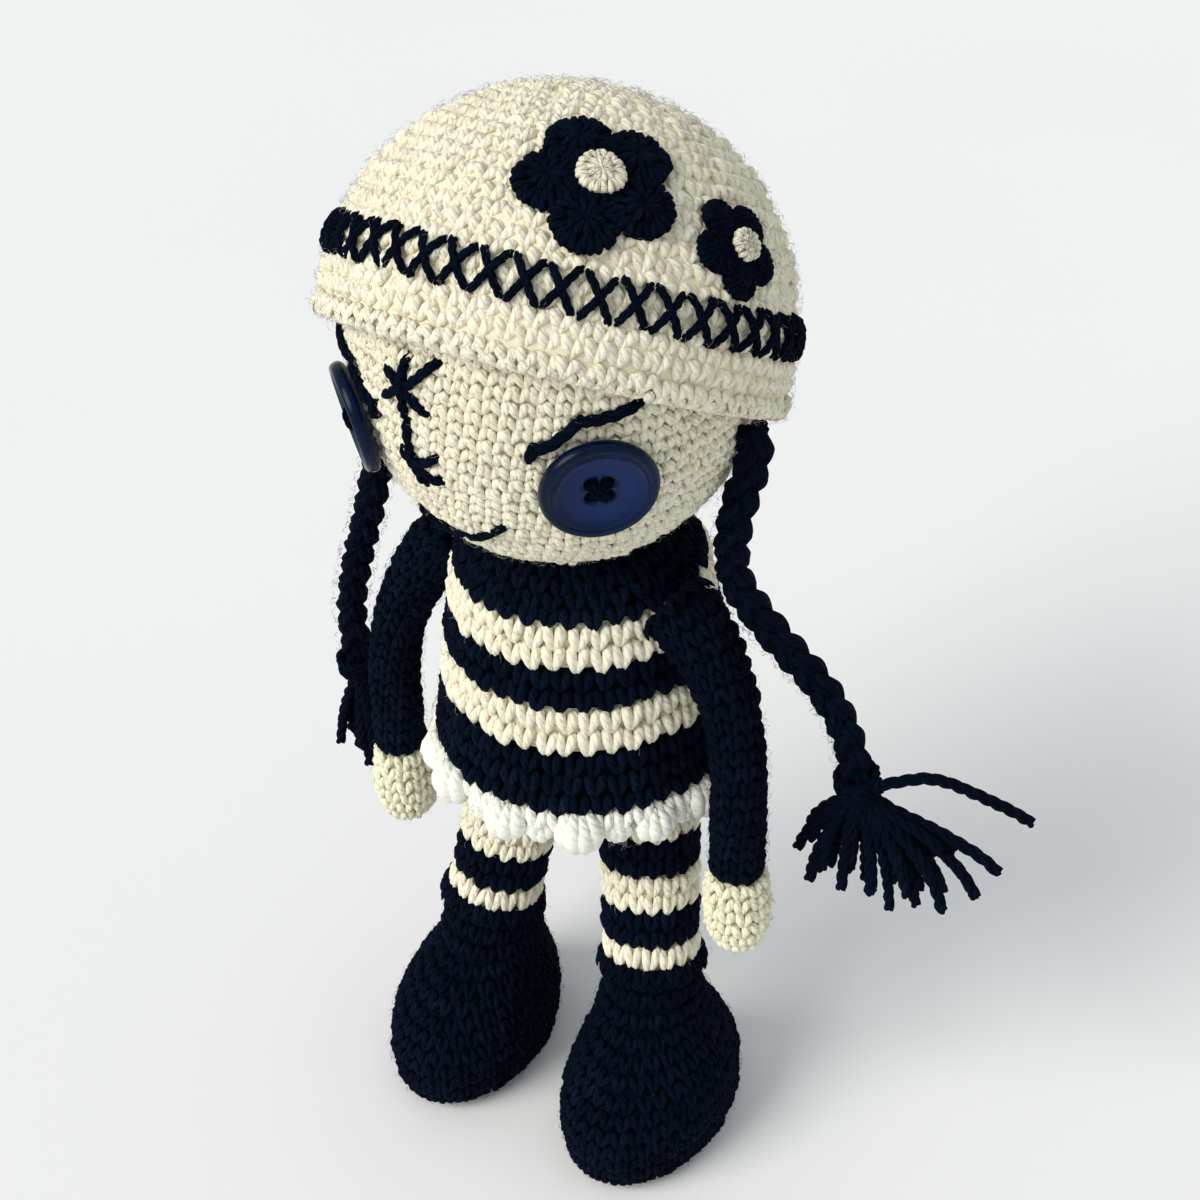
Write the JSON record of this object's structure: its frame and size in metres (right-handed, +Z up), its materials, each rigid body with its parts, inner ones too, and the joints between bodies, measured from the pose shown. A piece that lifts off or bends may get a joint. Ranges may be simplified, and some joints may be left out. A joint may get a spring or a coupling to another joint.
{
  "type": "amigurumi doll",
  "caption": "Crocheted doll with button eyes, a cap, braids, a striped dress and boots. Its head, cap, arms, legs and braids move.",
  "frame": {"origin": "in the plane of the boot soles, under the middle of the bounding box", "axes": "+Z up, the doll faces -Y, +X towards the doll's left hand"},
  "size_m": [0.2032, 0.1082, 0.2965],
  "materials": {
    "cream_yarn": "matte crochet",
    "hand_yarn": "matte crochet",
    "white_yarn": "matte crochet",
    "black_yarn": "matte crochet",
    "filling": "matte fibre",
    "button_plastic": "gloss",
    "dowel_wood": "plain"
  },
  "bodies": {
    "body": {"torso": "filling", "neck_dowel": "dowel_wood", "shoulder_thread": "black_yarn", "dress_yoke": "black_yarn", "dress_cream_upper": "cream_yarn", "dress_black_upper": "black_yarn", "dress_cream_lower": "cream_yarn", "dress_black_lower": "black_yarn", "dress_hem": "white_yarn"},
    "head": {"head_shell": "cream_yarn", "head_stuffing": "filling", "brow_stitch_left": "black_yarn", "brow_stitch_right": "black_yarn", "mouth_stitch": "black_yarn", "scar_stitch": "black_yarn", "eye_button_left": "button_plastic", "eye_button_right": "button_plastic", "button_thread_left": "black_yarn", "button_thread_right": "black_yarn"},
    "cap": {"cap": "cream_yarn", "cap_cross_stitches": "black_yarn", "flower_large": "black_yarn", "flower_large_middle": "cream_yarn", "flower_small": "black_yarn", "flower_small_middle": "cream_yarn"},
    "braid_left": {"braid_left": "black_yarn", "braid_tie_left": "black_yarn", "tassel_left": "black_yarn"},
    "braid_right": {"braid_right": "black_yarn", "braid_tie_right": "black_yarn", "tassel_right": "black_yarn"},
    "arm_left": {"sleeve_left": "black_yarn", "hand_left": "hand_yarn"},
    "arm_right": {"sleeve_right": "black_yarn", "hand_right": "hand_yarn"},
    "leg_left": {"leg_left_top": "cream_yarn", "leg_left_black_high": "black_yarn", "leg_left_cream_high": "cream_yarn", "leg_left_black_low": "black_yarn", "leg_left_cream_low": "cream_yarn", "boot_left": "black_yarn", "leg_stuffing_left": "filling"},
    "leg_right": {"leg_right_top": "cream_yarn", "leg_right_black_high": "black_yarn", "leg_right_cream_high": "cream_yarn", "leg_right_black_low": "black_yarn", "leg_right_cream_low": "cream_yarn", "boot_right": "black_yarn", "leg_stuffing_right": "filling"}
  },
  "joints": [
    {"name": "head_turn", "type": "hinge", "parent": "body", "child": "head", "pos_m": [-0.01653, -0.00162, 0.1866], "axis": [0, 0, 1], "range_deg": [-30, 30]},
    {"name": "cap_lift", "type": "slide", "parent": "head", "child": "cap", "axis": [0, 0.515, 0.8572], "range_m": [0, 0.08]},
    {"name": "braid_left_swing", "type": "hinge", "parent": "head", "child": "braid_left", "pos_m": [0.03396, -0.00162, 0.22], "axis": [1, 0, 0], "range_deg": [-25, 25]},
    {"name": "braid_right_swing", "type": "hinge", "parent": "head", "child": "braid_right", "pos_m": [-0.06702, -0.00162, 0.22], "axis": [1, 0, 0], "range_deg": [-25, 25]},
    {"name": "shoulder_left", "type": "hinge", "parent": "body", "child": "arm_left", "pos_m": [0.01841, -0.00562, 0.174], "axis": [-1, 0, 0], "range_deg": [-20, 85]},
    {"name": "shoulder_right", "type": "hinge", "parent": "body", "child": "arm_right", "pos_m": [-0.05147, -0.00562, 0.174], "axis": [-1, 0, 0], "range_deg": [-20, 85]},
    {"name": "hip_left", "type": "hinge", "parent": "body", "child": "leg_left", "pos_m": [0.00197, 0.00138, 0.112], "axis": [-1, 0, 0], "range_deg": [-35, 38]},
    {"name": "hip_right", "type": "hinge", "parent": "body", "child": "leg_right", "pos_m": [-0.03503, 0.00138, 0.112], "axis": [-1, 0, 0], "range_deg": [-35, 38]}
  ]
}
